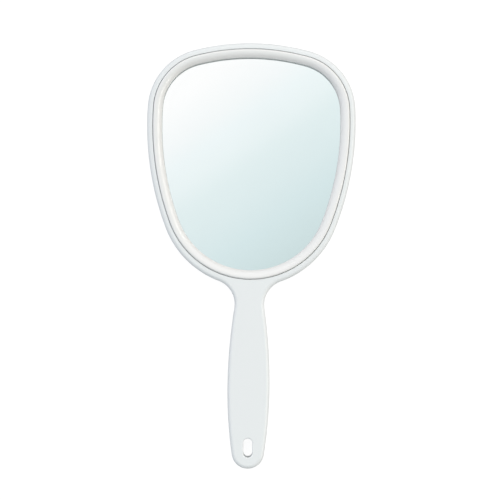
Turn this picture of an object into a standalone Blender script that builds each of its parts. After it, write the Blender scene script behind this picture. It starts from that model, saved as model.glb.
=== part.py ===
"""Salon hand mirror, lying on its back with the glass facing up.

Metres, +Z up, +X across the mirror and +Y from the handle towards the top of the head.
The origin is under the middle of the overall length, on the surface that the back rests on.

Every outline is a chain of tangent arcs, so an outline that is inset by a distance is the same
chain with each radius changed by that distance. All the pieces are lofted through such insets.
"""

import math

import bmesh
import bpy
from mathutils import Matrix, Vector

# Overall sizes
OVERALL_LENGTH = 0.300
HEAD_WIDTH = 0.147
HEAD_HEIGHT = 0.1716

# Curves of the head: crown on top, a shoulder at each corner, a flank down each side, the chin
CROWN_RADIUS = 0.159
SHOULDER_RADIUS = 0.0436
FLANK_RADIUS = 0.202
WIDEST_FROM_TOP = 0.0572

# Handle
NECK_WIDTH = 0.0208
NECK_RADIUS = 0.0175
GRIP_WIDTH = 0.0296
GRIP_FROM_TIP = 0.057
TIP_RADIUS = 0.0114

# Hanging slot near the tip
SLOT_WIDTH = 0.0063
SLOT_LENGTH = 0.0133
SLOT_FROM_TIP = 0.0147
SLOT_MOUTH_RADIUS = 0.0008
SLEEVE_WALL = 0.0015

# Space left between two pieces that touch
FIT = 0.0003

# Rear shell
REAR_FLOOR = 0.0020
REAR_WALL = 0.0026
REAR_DEPTH = 0.0060
REAR_EDGE_RADIUS = 0.0025
LAP_HEIGHT = 0.0017
LAP_SKIRT = 0.0014
BED_RIB_THICKNESS = 0.0012
BED_RIB_CLEARANCE = 0.0004
CROSS_RIB_THICKNESS = 0.0012

# Glass and what lies under it
GLASS_THICKNESS = 0.0030
GLASS_ARRIS = 0.0004
FILM_THICKNESS = 0.0003
FILM_MARGIN = 0.0008
FOAM_THICKNESS = 0.0022
FOAM_MARGIN = 0.0030

# Front frame
FRAME_FACE_WALL = 0.0020
FRAME_SIDE_WALL = 0.0020
FRAME_EDGE_RADIUS = 0.0026
RIM_WIDTH = 0.0039
RIM_EXTRA_AT_CHIN = 0.0011

# Bezel ring
GROOVE_WIDTH = 0.0003
BEZEL_PROUD = 0.0010
BEZEL_RISE = 0.0048
BEZEL_WALL = 0.0016
BEZEL_CREST_RADIUS = 0.0012
BEZEL_ROLL_END = math.radians(60)
BEZEL_LIP_FOOT = 0.0016
GLASS_OVERLAP = 0.0027
HOOK_CATCH = 0.0007
HOOK_HEIGHT = 0.0022
HOOK_NOSE = 0.0007
HOOK_LENGTH = 0.0100

# Screws that close the handle, and the plugs over them
SCREW_COUNT = 3
SCREW_BELOW_NECK = 0.018
SCREW_ABOVE_SLOT = 0.018
SCREW_LENGTH = 0.0070
SCREW_HEAD_RADIUS = 0.0026
SCREW_HEAD_HEIGHT = 0.0017
SCREW_HEAD_BEVEL = 0.0008
SCREW_THREAD_RADIUS = 0.0014
SCREW_CORE_RADIUS = 0.0010
SCREW_PITCH = 0.0011
CROSS_WIDTH = 0.0008
CROSS_LENGTH = 0.0028
CROSS_DEPTH = 0.0009
SEAT_THICKNESS = 0.0017
WELL_WALL = 0.0012
BOSS_WALL = 0.0014
PILOT_SPARE = 0.0005
PLUG_THICKNESS = 0.0009
PLUG_SUNK = 0.0001
PLUG_CHAMFER = 0.0002
PLUG_RIM = 0.0006
PLUG_WEB = 0.0005

# Largest distance between a curve and the straight sides that stand for it
CURVE_TOLERANCE = 0.00008
EDGE_STEPS = 4
ROLL_STEPS = 6
HOOK_STEPS = 4
ROUND_STEPS = 16
SCREW_STEPS = 12
SHARP_ANGLE = math.radians(35)

# Heights, from the surface up
FOAM_BOTTOM = REAR_FLOOR + FIT
FILM_BOTTOM = FOAM_BOTTOM + FOAM_THICKNESS + FIT
GLASS_BOTTOM = FILM_BOTTOM + FILM_THICKNESS + FIT
GLASS_TOP = GLASS_BOTTOM + GLASS_THICKNESS
BED_RIB_TOP = (GLASS_BOTTOM + GLASS_TOP) / 2
BEZEL_FOOT = GLASS_TOP + FIT
BEZEL_TOP = BEZEL_FOOT + BEZEL_RISE
FRAME_FACE = BEZEL_TOP - BEZEL_PROUD
FRAME_UNDERSIDE = FRAME_FACE - FRAME_FACE_WALL
LAP_TOP = REAR_DEPTH + LAP_HEIGHT
FRAME_LEDGE = LAP_TOP + FIT
SCREW_SEAT = PLUG_SUNK + PLUG_THICKNESS + FIT + SCREW_HEAD_HEIGHT + FIT
WELL_TOP = SCREW_SEAT + SEAT_THICKNESS

# Insets from the head's outline
BEZEL_EDGE = RIM_WIDTH + GROOVE_WIDTH
BED_RIB_EDGE = BEZEL_EDGE + BEZEL_WALL + BED_RIB_CLEARANCE
GLASS_EDGE = BED_RIB_EDGE + BED_RIB_THICKNESS + FIT
SIGHT_EDGE = GLASS_EDGE + GLASS_OVERLAP

# How far a cutter runs past what it cuts, and a rib or boss into the wall that carries it
OVERRUN = 0.0020
ROOT = 0.0008


class Arc:
    """Part of a circle, from one angle to another; bulge is 1 outwards and -1 for a hollow."""

    def __init__(self, centre, radius, start, end, bulge=1):
        self.centre = Vector(centre)
        self.radius = radius
        self.start = start
        self.end = end
        self.bulge = bulge
        step = 2 * math.acos(1 - CURVE_TOLERANCE / radius)
        self.steps = max(2, math.ceil(abs(end - start) / step))

    def point(self, angle, inset=0.0):
        reach = self.radius - self.bulge * inset
        return self.centre + reach * Vector((math.cos(angle), math.sin(angle)))

    def points(self, inset):
        """All the arc's points but the last, which the next arc starts with."""
        turn = (self.end - self.start) / self.steps
        return [self.point(self.start + turn * step, inset) for step in range(self.steps)]


def angle_of(vector):
    return math.atan2(vector.y, vector.x)


def circles_meet(centre_a, reach_a, centre_b, reach_b):
    """The two points at reach_a from centre_a and at reach_b from centre_b."""
    apart = centre_b - centre_a
    along = (reach_a ** 2 - reach_b ** 2 + apart.length_squared) / (2 * apart.length)
    aside = math.sqrt(reach_a ** 2 - along ** 2)
    ahead = apart.normalized()
    left = Vector((-ahead.y, ahead.x))
    middle = centre_a + ahead * along
    return middle + left * aside, middle - left * aside


def head_arcs(height):
    """Right half of a head of this height, from the middle of the crown to that of the chin."""
    top = OVERALL_LENGTH / 2
    crown = Vector((0, top - CROWN_RADIUS))
    flank = Vector((HEAD_WIDTH / 2 - FLANK_RADIUS, top - WIDEST_FROM_TOP))
    drop = height - WIDEST_FROM_TOP
    chin_radius = (FLANK_RADIUS ** 2 - flank.x ** 2 - drop ** 2) / (2 * (FLANK_RADIUS - drop))
    chin = Vector((0, top - height + chin_radius))
    flank_end = angle_of(chin - flank)
    shoulder = max(circles_meet(crown, CROWN_RADIUS - SHOULDER_RADIUS,
                                flank, FLANK_RADIUS - SHOULDER_RADIUS), key=lambda place: place.x)
    crown_end = angle_of(shoulder - crown)
    shoulder_end = angle_of(shoulder - flank)
    return [Arc(crown, CROWN_RADIUS, math.pi / 2, crown_end),
            Arc(shoulder, SHOULDER_RADIUS, crown_end, shoulder_end),
            Arc(flank, FLANK_RADIUS, shoulder_end, flank_end),
            Arc(chin, chin_radius, flank_end, -math.pi / 2)]


def handle_arcs(chin):
    """Right side of the handle: hollow neck, swelling grip, taper and rounded tip."""
    tip_y = -OVERALL_LENGTH / 2
    neck_x = NECK_WIDTH / 2 + NECK_RADIUS
    neck_drop = math.sqrt((chin.radius + NECK_RADIUS) ** 2 - neck_x ** 2)
    neck = Vector((neck_x, chin.centre.y - neck_drop))
    widest = Vector((GRIP_WIDTH / 2, tip_y + GRIP_FROM_TIP))
    across = neck.x - widest.x
    up = neck.y - widest.y
    grip_radius = (across ** 2 + up ** 2 - NECK_RADIUS ** 2) / (2 * (NECK_RADIUS - across))
    grip = widest - Vector((grip_radius, 0))
    tip = Vector((0, tip_y + TIP_RADIUS))
    down = widest.y - tip.y
    taper_radius = (widest.x ** 2 + down ** 2 - TIP_RADIUS ** 2) / (2 * (widest.x - TIP_RADIUS))
    taper = widest - Vector((taper_radius, 0))
    neck_start = angle_of(chin.centre - neck)
    neck_end = angle_of(grip - neck) % math.tau
    grip_start = angle_of(neck - grip)
    tip_start = angle_of(tip - taper)
    return [Arc(neck, NECK_RADIUS, neck_start, neck_end, bulge=-1),
            Arc(grip, grip_radius, grip_start, 0),
            Arc(taper, taper_radius, 0, tip_start),
            Arc(tip, TIP_RADIUS, tip_start, -math.pi / 2)]


BODY_HEAD = head_arcs(HEAD_HEIGHT)
BODY_CHIN = BODY_HEAD[-1]
HANDLE = handle_arcs(BODY_CHIN)
NECK, GRIP, TAPER = HANDLE[:3]
CHEEK = Arc(BODY_CHIN.centre, BODY_CHIN.radius, BODY_CHIN.start,
            angle_of(NECK.centre - BODY_CHIN.centre))
SIDE = BODY_HEAD[:-1] + [CHEEK] + HANDLE
HEAD = head_arcs(HEAD_HEIGHT - RIM_EXTRA_AT_CHIN)
CROWN, SHOULDER, FLANK, CHIN = HEAD
SLOT_Y = -OVERALL_LENGTH / 2 + SLOT_FROM_TIP


def both_sides(arcs, inset):
    """A closed outline from the arcs of its right side and their mirror image."""
    right = [place for arc in arcs for place in arc.points(inset)]
    right.append(arcs[-1].point(arcs[-1].end, inset))
    left = [Vector((-place.x, place.y)) for place in right[1:-1]]
    return list(reversed(right)) + left


def body_outline(inset=0.0):
    """Outside of the head and handle."""
    return both_sides(SIDE, inset)


def head_outline(inset=0.0):
    """The head's outline that the rim's inner edge, the bezel and the glass are inset from.

    It has the outside's crown, and a chin that stops short of the outside's, so that the rim
    grows wider towards the handle.
    """
    return both_sides(HEAD, inset)


def slot_outline(inset=0.0):
    """The hanging slot: two straight sides and two half circles."""
    radius = SLOT_WIDTH / 2
    shift = SLOT_LENGTH / 2 - radius
    lower = Vector((0, SLOT_Y - shift))
    upper = Vector((0, SLOT_Y + shift))
    arcs = [Arc(lower, radius, -math.pi, 0), Arc(upper, radius, 0, math.pi)]
    return [place for arc in arcs for place in arc.points(inset) + [arc.point(arc.end, inset)]]


def round_outline(radius, centre, steps):
    turn = math.tau / steps
    return [Vector((centre[0] + radius * math.cos(turn * step),
                    centre[1] + radius * math.sin(turn * step))) for step in range(steps)]


def rounded_edge(radius, face, facing=1, inset=0.0, side=1):
    """Profile points of a rounded edge, from the side wall at inset to the flat face.

    facing is 1 for a face that looks up and -1 for one that looks down; side is 1 where the
    edge rolls towards the inside of the outline and -1 where it rolls away from it.
    """
    turns = [math.pi / 2 * step / EDGE_STEPS for step in range(EDGE_STEPS + 1)]
    return [(inset + side * radius * (1 - math.cos(turn)),
             face - facing * radius * (1 - math.sin(turn))) for turn in turns]


def mesh_object(name, mesh_data, material=None):
    """A new object from a bmesh, shaded smooth but for its sharp edges."""
    bmesh.ops.recalc_face_normals(mesh_data, faces=mesh_data.faces)
    mesh = bpy.data.meshes.new(name)
    mesh_data.to_mesh(mesh)
    mesh_data.free()
    mesh.shade_smooth()
    mesh.set_sharp_from_angle(angle=SHARP_ANGLE)
    result = bpy.data.objects.new(name, mesh)
    bpy.context.scene.collection.objects.link(result)
    if material:
        mesh.materials.append(material)
    return result


def loft(name, loops, material=None, closed=False):
    """A body through loops of (x, y, z) corners: capped at both ends, or closed to a ring."""
    shape = bmesh.new()
    loops = [[shape.verts.new(corner) for corner in corners] for corners in loops]
    pairs = list(zip(loops, loops[1:]))
    if closed:
        pairs.append((loops[-1], loops[0]))
    for lower, upper in pairs:
        for i in range(len(lower)):
            shape.faces.new((lower[i - 1], lower[i], upper[i], upper[i - 1]))
    if not closed:
        shape.faces.new(reversed(loops[0]))
        shape.faces.new(loops[-1])
    return mesh_object(name, shape, material)


def raised(points, height):
    """Corners of a flat outline at a height."""
    return [(place.x, place.y, height) for place in points]


def profiled(name, outline, profile, material=None, closed=False):
    """A body whose edge follows a profile of (inset, height) points round an outline."""
    loops = [raised(outline(inset), height) for inset, height in profile]
    return loft(name, loops, material, closed)


def straight(name, outline, inset, bottom, top, material=None):
    return profiled(name, outline, [(inset, bottom), (inset, top)], material)


def turned(name, profile, centre=(0, 0), steps=ROUND_STEPS, material=None):
    """A round body through a profile of (radius, height) points, capped at both ends."""
    loops = [raised(round_outline(radius, centre, steps), height) for radius, height in profile]
    return loft(name, loops, material)


def pillar(name, radius, bottom, top, centre):
    return turned(name, [(radius, bottom), (radius, top)], centre)


def block(name, size, matrix):
    shape = bmesh.new()
    bmesh.ops.create_cube(shape, size=1.0, matrix=matrix @ Matrix.Diagonal((*size, 1)))
    return mesh_object(name, shape)


def combine(target, tool, operation):
    """Joins a construction shape to a piece, or cuts it out of the piece."""
    tool.hide_render = True
    tool.display_type = "WIRE"
    change = target.modifiers.new(tool.name, "BOOLEAN")
    change.solver = "EXACT"
    change.operation = operation
    change.object = tool


def material(name, colour, roughness, metallic=0.0, coat=0.0):
    result = bpy.data.materials.new(name)
    result.use_nodes = True
    shader = result.node_tree.nodes["Principled BSDF"]
    shader.inputs["Base Color"].default_value = (*colour, 1)
    shader.inputs["Roughness"].default_value = roughness
    shader.inputs["Metallic"].default_value = metallic
    shader.inputs["Coat Weight"].default_value = coat
    result.diffuse_color = (*colour, 1)
    return result


def screw_places():
    """The screws' axes, spread evenly between the neck and the hanging slot."""
    first = NECK.centre.y - SCREW_BELOW_NECK
    last = SLOT_Y + SCREW_ABOVE_SLOT
    gap = (last - first) / (SCREW_COUNT - 1)
    return [Vector((0, first + gap * number)) for number in range(SCREW_COUNT)]


def grip_half_width(y):
    """Half the handle's width at a height along it, on the grip or the taper below it."""
    side = GRIP if y > GRIP.centre.y else TAPER
    return side.centre.x + math.sqrt(side.radius ** 2 - (y - side.centre.y) ** 2)


def make_rear_shell():
    """Back of the head and handle: a tray with a lip that the front frame laps over."""
    profile = list(reversed(rounded_edge(REAR_EDGE_RADIUS, 0, facing=-1)))
    lip = LAP_SKIRT + FIT
    profile += [(0, REAR_DEPTH), (lip, REAR_DEPTH), (lip, LAP_TOP),
                (REAR_WALL, LAP_TOP), (REAR_WALL, REAR_FLOOR)]
    shell = profiled("rear_shell", body_outline, profile,
                     material("rear_shell_plastic", (0.80, 0.83, 0.84), 0.22, coat=0.4))
    rib_foot = REAR_FLOOR - ROOT
    rib_inner = BED_RIB_EDGE + BED_RIB_THICKNESS
    rib = profiled("glass_bed_rib", head_outline,
                   [(BED_RIB_EDGE, rib_foot), (BED_RIB_EDGE, BED_RIB_TOP),
                    (rib_inner, BED_RIB_TOP), (rib_inner, rib_foot)], closed=True)
    combine(shell, rib, "UNION")
    places = screw_places()
    for number, (upper, lower) in enumerate(zip(places, places[1:]), start=1):
        y = (upper.y + lower.y) / 2
        length = 2 * (grip_half_width(y) - REAR_WALL + ROOT)
        height = REAR_DEPTH - rib_foot
        centre = Matrix.Translation((0, y, rib_foot + height / 2))
        rib = block(f"cross_rib_{number}", (length, CROSS_RIB_THICKNESS, height), centre)
        combine(shell, rib, "UNION")
    sleeve = straight("rear_slot_sleeve", slot_outline, -SLEEVE_WALL, rib_foot, REAR_DEPTH)
    combine(shell, sleeve, "UNION")
    for room in snap_hooks("hook_room", FIT):
        combine(shell, room, "DIFFERENCE")
    well_bore = SCREW_HEAD_RADIUS + FIT
    for number, place in enumerate(places, start=1):
        well = pillar(f"screw_well_{number}", well_bore + WELL_WALL, rib_foot, WELL_TOP, place)
        bore = pillar(f"screw_well_bore_{number}", well_bore, -OVERRUN, SCREW_SEAT, place)
        hole = pillar(f"screw_hole_{number}", SCREW_THREAD_RADIUS + FIT, SCREW_SEAT - ROOT,
                      WELL_TOP + OVERRUN, place)
        combine(shell, well, "UNION")
        combine(shell, bore, "DIFFERENCE")
        combine(shell, hole, "DIFFERENCE")
    mouth = list(reversed(rounded_edge(SLOT_MOUTH_RADIUS, 0, facing=-1, side=-1)))
    slot = profiled("rear_slot", slot_outline,
                    [(mouth[0][0], -OVERRUN)] + mouth + [(0, REAR_DEPTH + OVERRUN)])
    combine(shell, slot, "DIFFERENCE")
    return shell


def make_front_frame():
    """Outer rim of the head and the front half of the handle, in one moulding."""
    profile = [(0, REAR_DEPTH + FIT)] + rounded_edge(FRAME_EDGE_RADIUS, FRAME_FACE)
    frame = profiled("front_frame", body_outline, profile,
                     material("front_frame_plastic", (0.80, 0.83, 0.84), 0.20, coat=0.5))
    lap = straight("lap_space", body_outline, LAP_SKIRT, REAR_DEPTH - OVERRUN, FRAME_LEDGE)
    combine(frame, lap, "DIFFERENCE")
    handle = straight("handle_space", body_outline, FRAME_SIDE_WALL, FRAME_LEDGE - ROOT,
                      FRAME_UNDERSIDE)
    head_block = straight("head_block", head_outline, 0, REAR_DEPTH, FRAME_FACE)
    combine(handle, head_block, "DIFFERENCE")
    combine(frame, handle, "DIFFERENCE")
    opening = straight("head_opening", head_outline, RIM_WIDTH, REAR_DEPTH - OVERRUN,
                       FRAME_FACE + OVERRUN)
    combine(frame, opening, "DIFFERENCE")
    root = FRAME_UNDERSIDE + ROOT
    sleeve = straight("front_slot_sleeve", slot_outline, -SLEEVE_WALL, REAR_DEPTH + FIT, root)
    combine(frame, sleeve, "UNION")
    pilot = SCREW_THREAD_RADIUS + FIT
    pilot_top = SCREW_SEAT - FIT + SCREW_LENGTH + PILOT_SPARE
    for number, place in enumerate(screw_places(), start=1):
        boss = pillar(f"screw_boss_{number}", pilot + BOSS_WALL, WELL_TOP + FIT, root, place)
        hole = pillar(f"pilot_hole_{number}", pilot, WELL_TOP - OVERRUN, pilot_top, place)
        combine(frame, boss, "UNION")
        combine(frame, hole, "DIFFERENCE")
    mouth = rounded_edge(SLOT_MOUTH_RADIUS, FRAME_FACE, side=-1)
    slot = profiled("front_slot", slot_outline,
                    [(0, REAR_DEPTH - OVERRUN)] + mouth + [(mouth[-1][0], FRAME_FACE + OVERRUN)])
    combine(frame, slot, "DIFFERENCE")
    return frame


def bezel_profile():
    """Section of the bezel: skirt, crest, roll and lip down to the glass, and a hollow back.

    The roll is part of a circle that starts level at the crest and steepens towards the lip;
    the hollow under it has the same centre, so the wall keeps its thickness.
    """
    crest = BEZEL_EDGE + BEZEL_CREST_RADIUS
    radius = (SIGHT_EDGE - crest) / math.sin(BEZEL_ROLL_END)
    centre = BEZEL_TOP - radius
    hollow = radius - BEZEL_WALL
    skirt_inner = BEZEL_EDGE + BEZEL_WALL
    foot_outer = SIGHT_EDGE - BEZEL_LIP_FOOT

    def rolled(reach, start, end):
        turns = [start + (end - start) * step / ROLL_STEPS for step in range(ROLL_STEPS + 1)]
        return [(crest + reach * math.sin(turn), centre + reach * math.cos(turn)) for turn in turns]

    hollow_start = math.asin((foot_outer - crest) / hollow)
    hollow_end = math.asin((skirt_inner - crest) / hollow)
    return ([(BEZEL_EDGE, FOAM_BOTTOM)]
            + rounded_edge(BEZEL_CREST_RADIUS, BEZEL_TOP, inset=BEZEL_EDGE)
            + rolled(radius, 0, BEZEL_ROLL_END)[1:]
            + [(SIGHT_EDGE, BEZEL_FOOT), (foot_outer, BEZEL_FOOT)]
            + rolled(hollow, hollow_start, hollow_end)
            + [(skirt_inner, FOAM_BOTTOM)])


def make_bezel_ring():
    """Ring that holds the glass down and snaps under the rim with hooks round its skirt."""
    ring = profiled("bezel_ring", head_outline, bezel_profile(),
                    material("bezel_plastic", (0.86, 0.88, 0.89), 0.18, coat=0.5), closed=True)
    for hook in snap_hooks("snap_hook"):
        combine(ring, hook, "UNION")
    return ring


def snap_hooks(name, clearance=0.0):
    """The hooks that catch under the rim, each larger all round by a clearance.

    There is one at the middle of each arc of the head. A hook is a wedge with a flat top, whose
    section is carried along the arc, so its outer face keeps its distance from the rim's edge.
    """
    outer = RIM_WIDTH - HOOK_CATCH - clearance
    inner = BEZEL_EDGE + ROOT
    top = FRAME_LEDGE - FIT
    section = [(inner, top - HOOK_HEIGHT - clearance), (inner, top + clearance),
               (outer, top + clearance), (outer, top - HOOK_NOSE - clearance)]
    places = [(CROWN, CROWN.start, 1), (CHIN, CHIN.end, 1)]
    places += [(arc, (arc.start + arc.end) / 2, side)
               for arc in (SHOULDER, FLANK, CHIN) for side in (1, -1)]
    hooks = []
    for number, (arc, middle, side) in enumerate(places, start=1):
        half_turn = (HOOK_LENGTH / 2 + clearance) / (arc.radius - outer)
        loops = []
        for step in range(HOOK_STEPS + 1):
            turn = middle + half_turn * (2 * step / HOOK_STEPS - 1)
            corners = [(*arc.point(turn, inset), height) for inset, height in section]
            loops.append([(side * x, y, z) for x, y, z in corners])
        hooks.append(loft(f"{name}_{number}", loops))
    return hooks


def make_glass_stack():
    """Mirror glass with ground edges, the film on its back and the foam that it lies on."""
    arris = [(GLASS_EDGE + GLASS_ARRIS, GLASS_BOTTOM), (GLASS_EDGE, GLASS_BOTTOM + GLASS_ARRIS),
             (GLASS_EDGE, GLASS_TOP - GLASS_ARRIS), (GLASS_EDGE + GLASS_ARRIS, GLASS_TOP)]
    glass = profiled("mirror_glass", head_outline, arris,
                     material("silvered_glass", (0.80, 0.88, 0.88), 0.02, metallic=1.0))
    film = straight("safety_film", head_outline, GLASS_EDGE + FILM_MARGIN, FILM_BOTTOM,
                    FILM_BOTTOM + FILM_THICKNESS, material("backing_film", (0.30, 0.34, 0.38), 0.5))
    foam = straight("foam_pad", head_outline, GLASS_EDGE + FOAM_MARGIN, FOAM_BOTTOM,
                    FOAM_BOTTOM + FOAM_THICKNESS, material("foam", (0.55, 0.55, 0.53), 0.95))
    return glass, film, foam


def screw_profile():
    """(radius, height) from the tip of the screw down its thread to the back of its head."""
    under_head = SCREW_SEAT - FIT
    tip = under_head + SCREW_LENGTH
    point_length = SCREW_THREAD_RADIUS
    profile = [(SCREW_CORE_RADIUS / 2, tip)]
    turns = int((SCREW_LENGTH - point_length) / SCREW_PITCH)
    for turn in range(turns):
        root_height = tip - point_length - SCREW_PITCH * turn
        profile.append((SCREW_CORE_RADIUS, root_height))
        profile.append((SCREW_THREAD_RADIUS, root_height - SCREW_PITCH / 2))
    bottom = under_head - SCREW_HEAD_HEIGHT
    profile += [(SCREW_CORE_RADIUS, under_head), (SCREW_HEAD_RADIUS, under_head),
                (SCREW_HEAD_RADIUS, bottom + SCREW_HEAD_HEIGHT / 2),
                (SCREW_HEAD_RADIUS - SCREW_HEAD_BEVEL, bottom)]
    return list(reversed(profile))


def make_screw(number, place, finish):
    """Self-tapping pan-head screw, driven from behind, with a cross recess in its head."""
    profile = screw_profile()
    screw = turned(f"handle_screw_{number}", profile, steps=SCREW_STEPS, material=finish)
    bottom = profile[0][1]
    for name, turn in (("slot_a", 0), ("slot_b", math.pi / 2)):
        middle = Matrix.Translation((0, 0, bottom + (CROSS_DEPTH - OVERRUN) / 2))
        size = (CROSS_LENGTH, CROSS_WIDTH, CROSS_DEPTH + OVERRUN)
        bar = block(f"{screw.name}_{name}", size, middle @ Matrix.Rotation(turn, 4, "Z"))
        bar.parent = screw
        combine(screw, bar, "DIFFERENCE")
    screw.location = (place.x, place.y, 0)
    return screw


def make_plug(number, place, finish):
    """Round cap pressed into a screw well, with a hollow on its inner side."""
    radius = SCREW_HEAD_RADIUS
    top = PLUG_SUNK + PLUG_THICKNESS
    hollow = radius - PLUG_RIM
    profile = [(radius - PLUG_CHAMFER, PLUG_SUNK), (radius, PLUG_SUNK + PLUG_CHAMFER),
               (radius, top), (hollow, top), (hollow, PLUG_SUNK + PLUG_WEB)]
    plug = turned(f"screw_plug_{number}", profile, material=finish)
    plug.location = (place.x, place.y, 0)
    return plug


def clear_scene():
    for item in list(bpy.data.objects):
        bpy.data.objects.remove(item, do_unlink=True)


def build():
    clear_scene()
    body = bpy.data.objects.new("hand_mirror", None)
    bpy.context.scene.collection.objects.link(body)
    pieces = [make_rear_shell(), make_front_frame(), make_bezel_ring(), *make_glass_stack()]
    steel = material("zinc_plated_steel", (0.62, 0.63, 0.65), 0.35, metallic=1.0)
    plug_plastic = material("plug_plastic", (0.78, 0.80, 0.81), 0.35)
    for number, place in enumerate(screw_places(), start=1):
        pieces.append(make_screw(number, place, steel))
        pieces.append(make_plug(number, place, plug_plastic))
    for piece in pieces:
        piece.parent = body


build()
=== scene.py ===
"""Looks of a salon hand mirror lying on its back: fine meshes, finishes, floor, light and camera.

The file is laid out as an add-on and is run as a script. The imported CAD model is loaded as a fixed
frame, and the pieces that show are made again here as fine surfaces of the same sizes.
Metres, +Z up, +X across the mirror and +Y from the handle towards the top of the head.

Every outline is a chain of tangent arcs. A piece is a section of (inset, height) points carried
round an outline, where an inset is measured square to the outline and towards its inside.
"""

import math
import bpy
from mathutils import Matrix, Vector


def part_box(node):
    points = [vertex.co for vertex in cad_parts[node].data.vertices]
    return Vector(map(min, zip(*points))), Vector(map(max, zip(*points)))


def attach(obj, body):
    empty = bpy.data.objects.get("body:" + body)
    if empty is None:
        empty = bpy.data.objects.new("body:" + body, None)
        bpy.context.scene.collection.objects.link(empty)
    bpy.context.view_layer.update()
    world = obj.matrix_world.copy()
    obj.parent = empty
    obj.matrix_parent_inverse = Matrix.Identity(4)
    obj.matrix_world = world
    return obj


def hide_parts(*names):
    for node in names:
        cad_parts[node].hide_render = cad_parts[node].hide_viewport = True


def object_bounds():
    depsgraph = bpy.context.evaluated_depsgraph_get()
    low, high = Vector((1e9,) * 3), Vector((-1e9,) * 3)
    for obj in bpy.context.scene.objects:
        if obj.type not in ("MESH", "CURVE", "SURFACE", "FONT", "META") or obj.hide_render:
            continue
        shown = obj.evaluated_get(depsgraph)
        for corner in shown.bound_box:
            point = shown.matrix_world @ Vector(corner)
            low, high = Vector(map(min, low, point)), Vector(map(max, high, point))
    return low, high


bl_info = {
    "name": "Salon Hand Mirror",
    "version": (1, 0, 0),
    "blender": (4, 5, 0),
    "location": "3D View > Sidebar > Hand Mirror",
    "description": "Makes the mouldings, the glass, the finishes and the stage of a hand mirror",
    "category": "Object",
}

from typing import NamedTuple

import bpy
import numpy as np
from bpy.props import FloatProperty, FloatVectorProperty, PointerProperty
from bpy.types import Operator, Panel, PropertyGroup
from mathutils import Vector

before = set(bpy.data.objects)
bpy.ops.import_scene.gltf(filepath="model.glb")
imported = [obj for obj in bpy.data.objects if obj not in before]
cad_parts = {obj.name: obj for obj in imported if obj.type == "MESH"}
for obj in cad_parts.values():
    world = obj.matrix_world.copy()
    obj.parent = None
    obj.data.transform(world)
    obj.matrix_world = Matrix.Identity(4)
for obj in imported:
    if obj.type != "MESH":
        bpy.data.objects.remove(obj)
CAD_LOW, CAD_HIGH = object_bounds()
SHELL_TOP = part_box("rear_shell")[1].z
RIM_LOW, RIM_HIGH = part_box("front_frame")
BEZEL_LOW, BEZEL_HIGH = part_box("bezel_ring")
GLASS_LOW, GLASS_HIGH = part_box("mirror_glass")
SCREWS = sorted(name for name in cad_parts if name.startswith("handle_screw_"))
PLUGS = sorted(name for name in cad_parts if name.startswith("screw_plug_"))

BODY = "root"

# An edge that turns further than this stays sharp
SHARP_ANGLE = math.radians(28)

# Longest steps along an outline, as a turn and as a length, and round a softened corner
ARC_STEP = math.radians(2.5)
LENGTH_STEP = 0.0020
CORNER_STEP = math.radians(11.25)

# Points on the quarter round of a hole's mouth, and on the bezel's crest, roll and hollow
MOUTH_POINTS = 9
CREST_POINTS = 13
ROLL_POINTS = 22
HOLLOW_POINTS = 10

# Where the roll makes way for the lip's round, as a share of the round
LIP_START = 0.4

# How far a cutter runs past what it cuts, and how deep a joined part is rooted
OVERRUN = 0.0020
ROOT = 0.0008

# A face whose upward part is below this is flat and looks down
FLAT_DOWN = -0.999


def length(name, default, description):
    """A property that holds a length in metres."""
    return FloatProperty(name=name, description=description, default=default, min=0.0, precision=5,
                         unit="LENGTH")


def angle(name, degrees, description):
    """A property that holds an angle."""
    return FloatProperty(name=name, description=description, default=math.radians(degrees),
                         subtype="ANGLE")


def amount(name, default, description):
    """A property that holds a plain number, such as a share or a strength."""
    return FloatProperty(name=name, description=description, default=default, precision=4)


def colour(name, default, description):
    """A property that holds a linear colour."""
    return FloatVectorProperty(name=name, description=description, default=default, size=3,
                               min=0.0, soft_max=1.0, subtype="COLOR")


class MirrorHead(PropertyGroup):
    """Outline of the head."""
    overall_length: length("Overall length", CAD_HIGH.y - CAD_LOW.y, "Top of the head to the tip")
    width: length("Head width", CAD_HIGH.x - CAD_LOW.x, "Widest part of the head")
    height: length("Head height", 0.1716, "Middle of the crown to the middle of the chin")
    crown_radius: length("Crown radius", 0.159, "Arc across the top")
    shoulder_radius: length("Shoulder radius", 0.0436, "Arc at each upper corner")
    flank_radius: length("Flank radius", 0.202, "Arc down each side")
    widest_from_top: length("Widest from top", 0.0572, "The flanks' centres below the top")


class MirrorHandle(PropertyGroup):
    """Outline of the handle and its hanging slot."""
    neck_width: length("Neck width", 0.0208, "Narrowest part under the head")
    neck_radius: length("Neck radius", 0.0175, "Hollow arc that joins the head and the grip")
    grip_width: length("Grip width", 0.0296, "Widest part of the handle")
    grip_from_tip: length("Grip from tip", 0.057, "Height of the widest part above the tip")
    tip_radius: length("Tip radius", 0.0114, "Round end of the handle")
    slot_width: length("Slot width", 0.0063, "Hanging slot, side to side")
    slot_length: length("Slot length", 0.0133, "Hanging slot, end to end")
    slot_from_tip: length("Slot from tip", 0.0147, "Middle of the slot above the tip")
    slot_mouth: length("Slot mouth radius", 0.0008, "Rounding of the slot's two mouths")
    sleeve_wall: length("Sleeve wall", 0.0015, "Wall round the slot inside the handle")


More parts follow.
